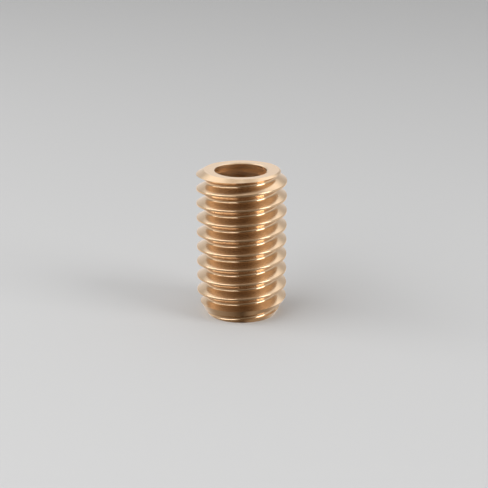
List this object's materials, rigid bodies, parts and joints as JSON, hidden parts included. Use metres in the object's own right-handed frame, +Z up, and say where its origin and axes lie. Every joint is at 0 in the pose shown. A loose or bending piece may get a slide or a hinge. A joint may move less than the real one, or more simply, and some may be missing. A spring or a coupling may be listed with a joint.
{
  "type": "thread adapter screw",
  "caption": "Short hollow brass screw with a coarse right-hand thread along its whole outside and a bore for a finer inside thread, chamfered at both ends, for joining two thread sizes.",
  "frame": {"origin": "centre of the lower end face, which is the end that it stands on", "axes": "+Z up the axis to the other end; -Y is the side that faces the viewer, where a crest of the outside thread meets the upper end face"},
  "size_m": [0.006, 0.006, 0.0099],
  "materials": {
    "brass": "satin"
  },
  "bodies": {
    "root": {"thread_adapter_screw": "brass"}
  },
  "joints": []
}
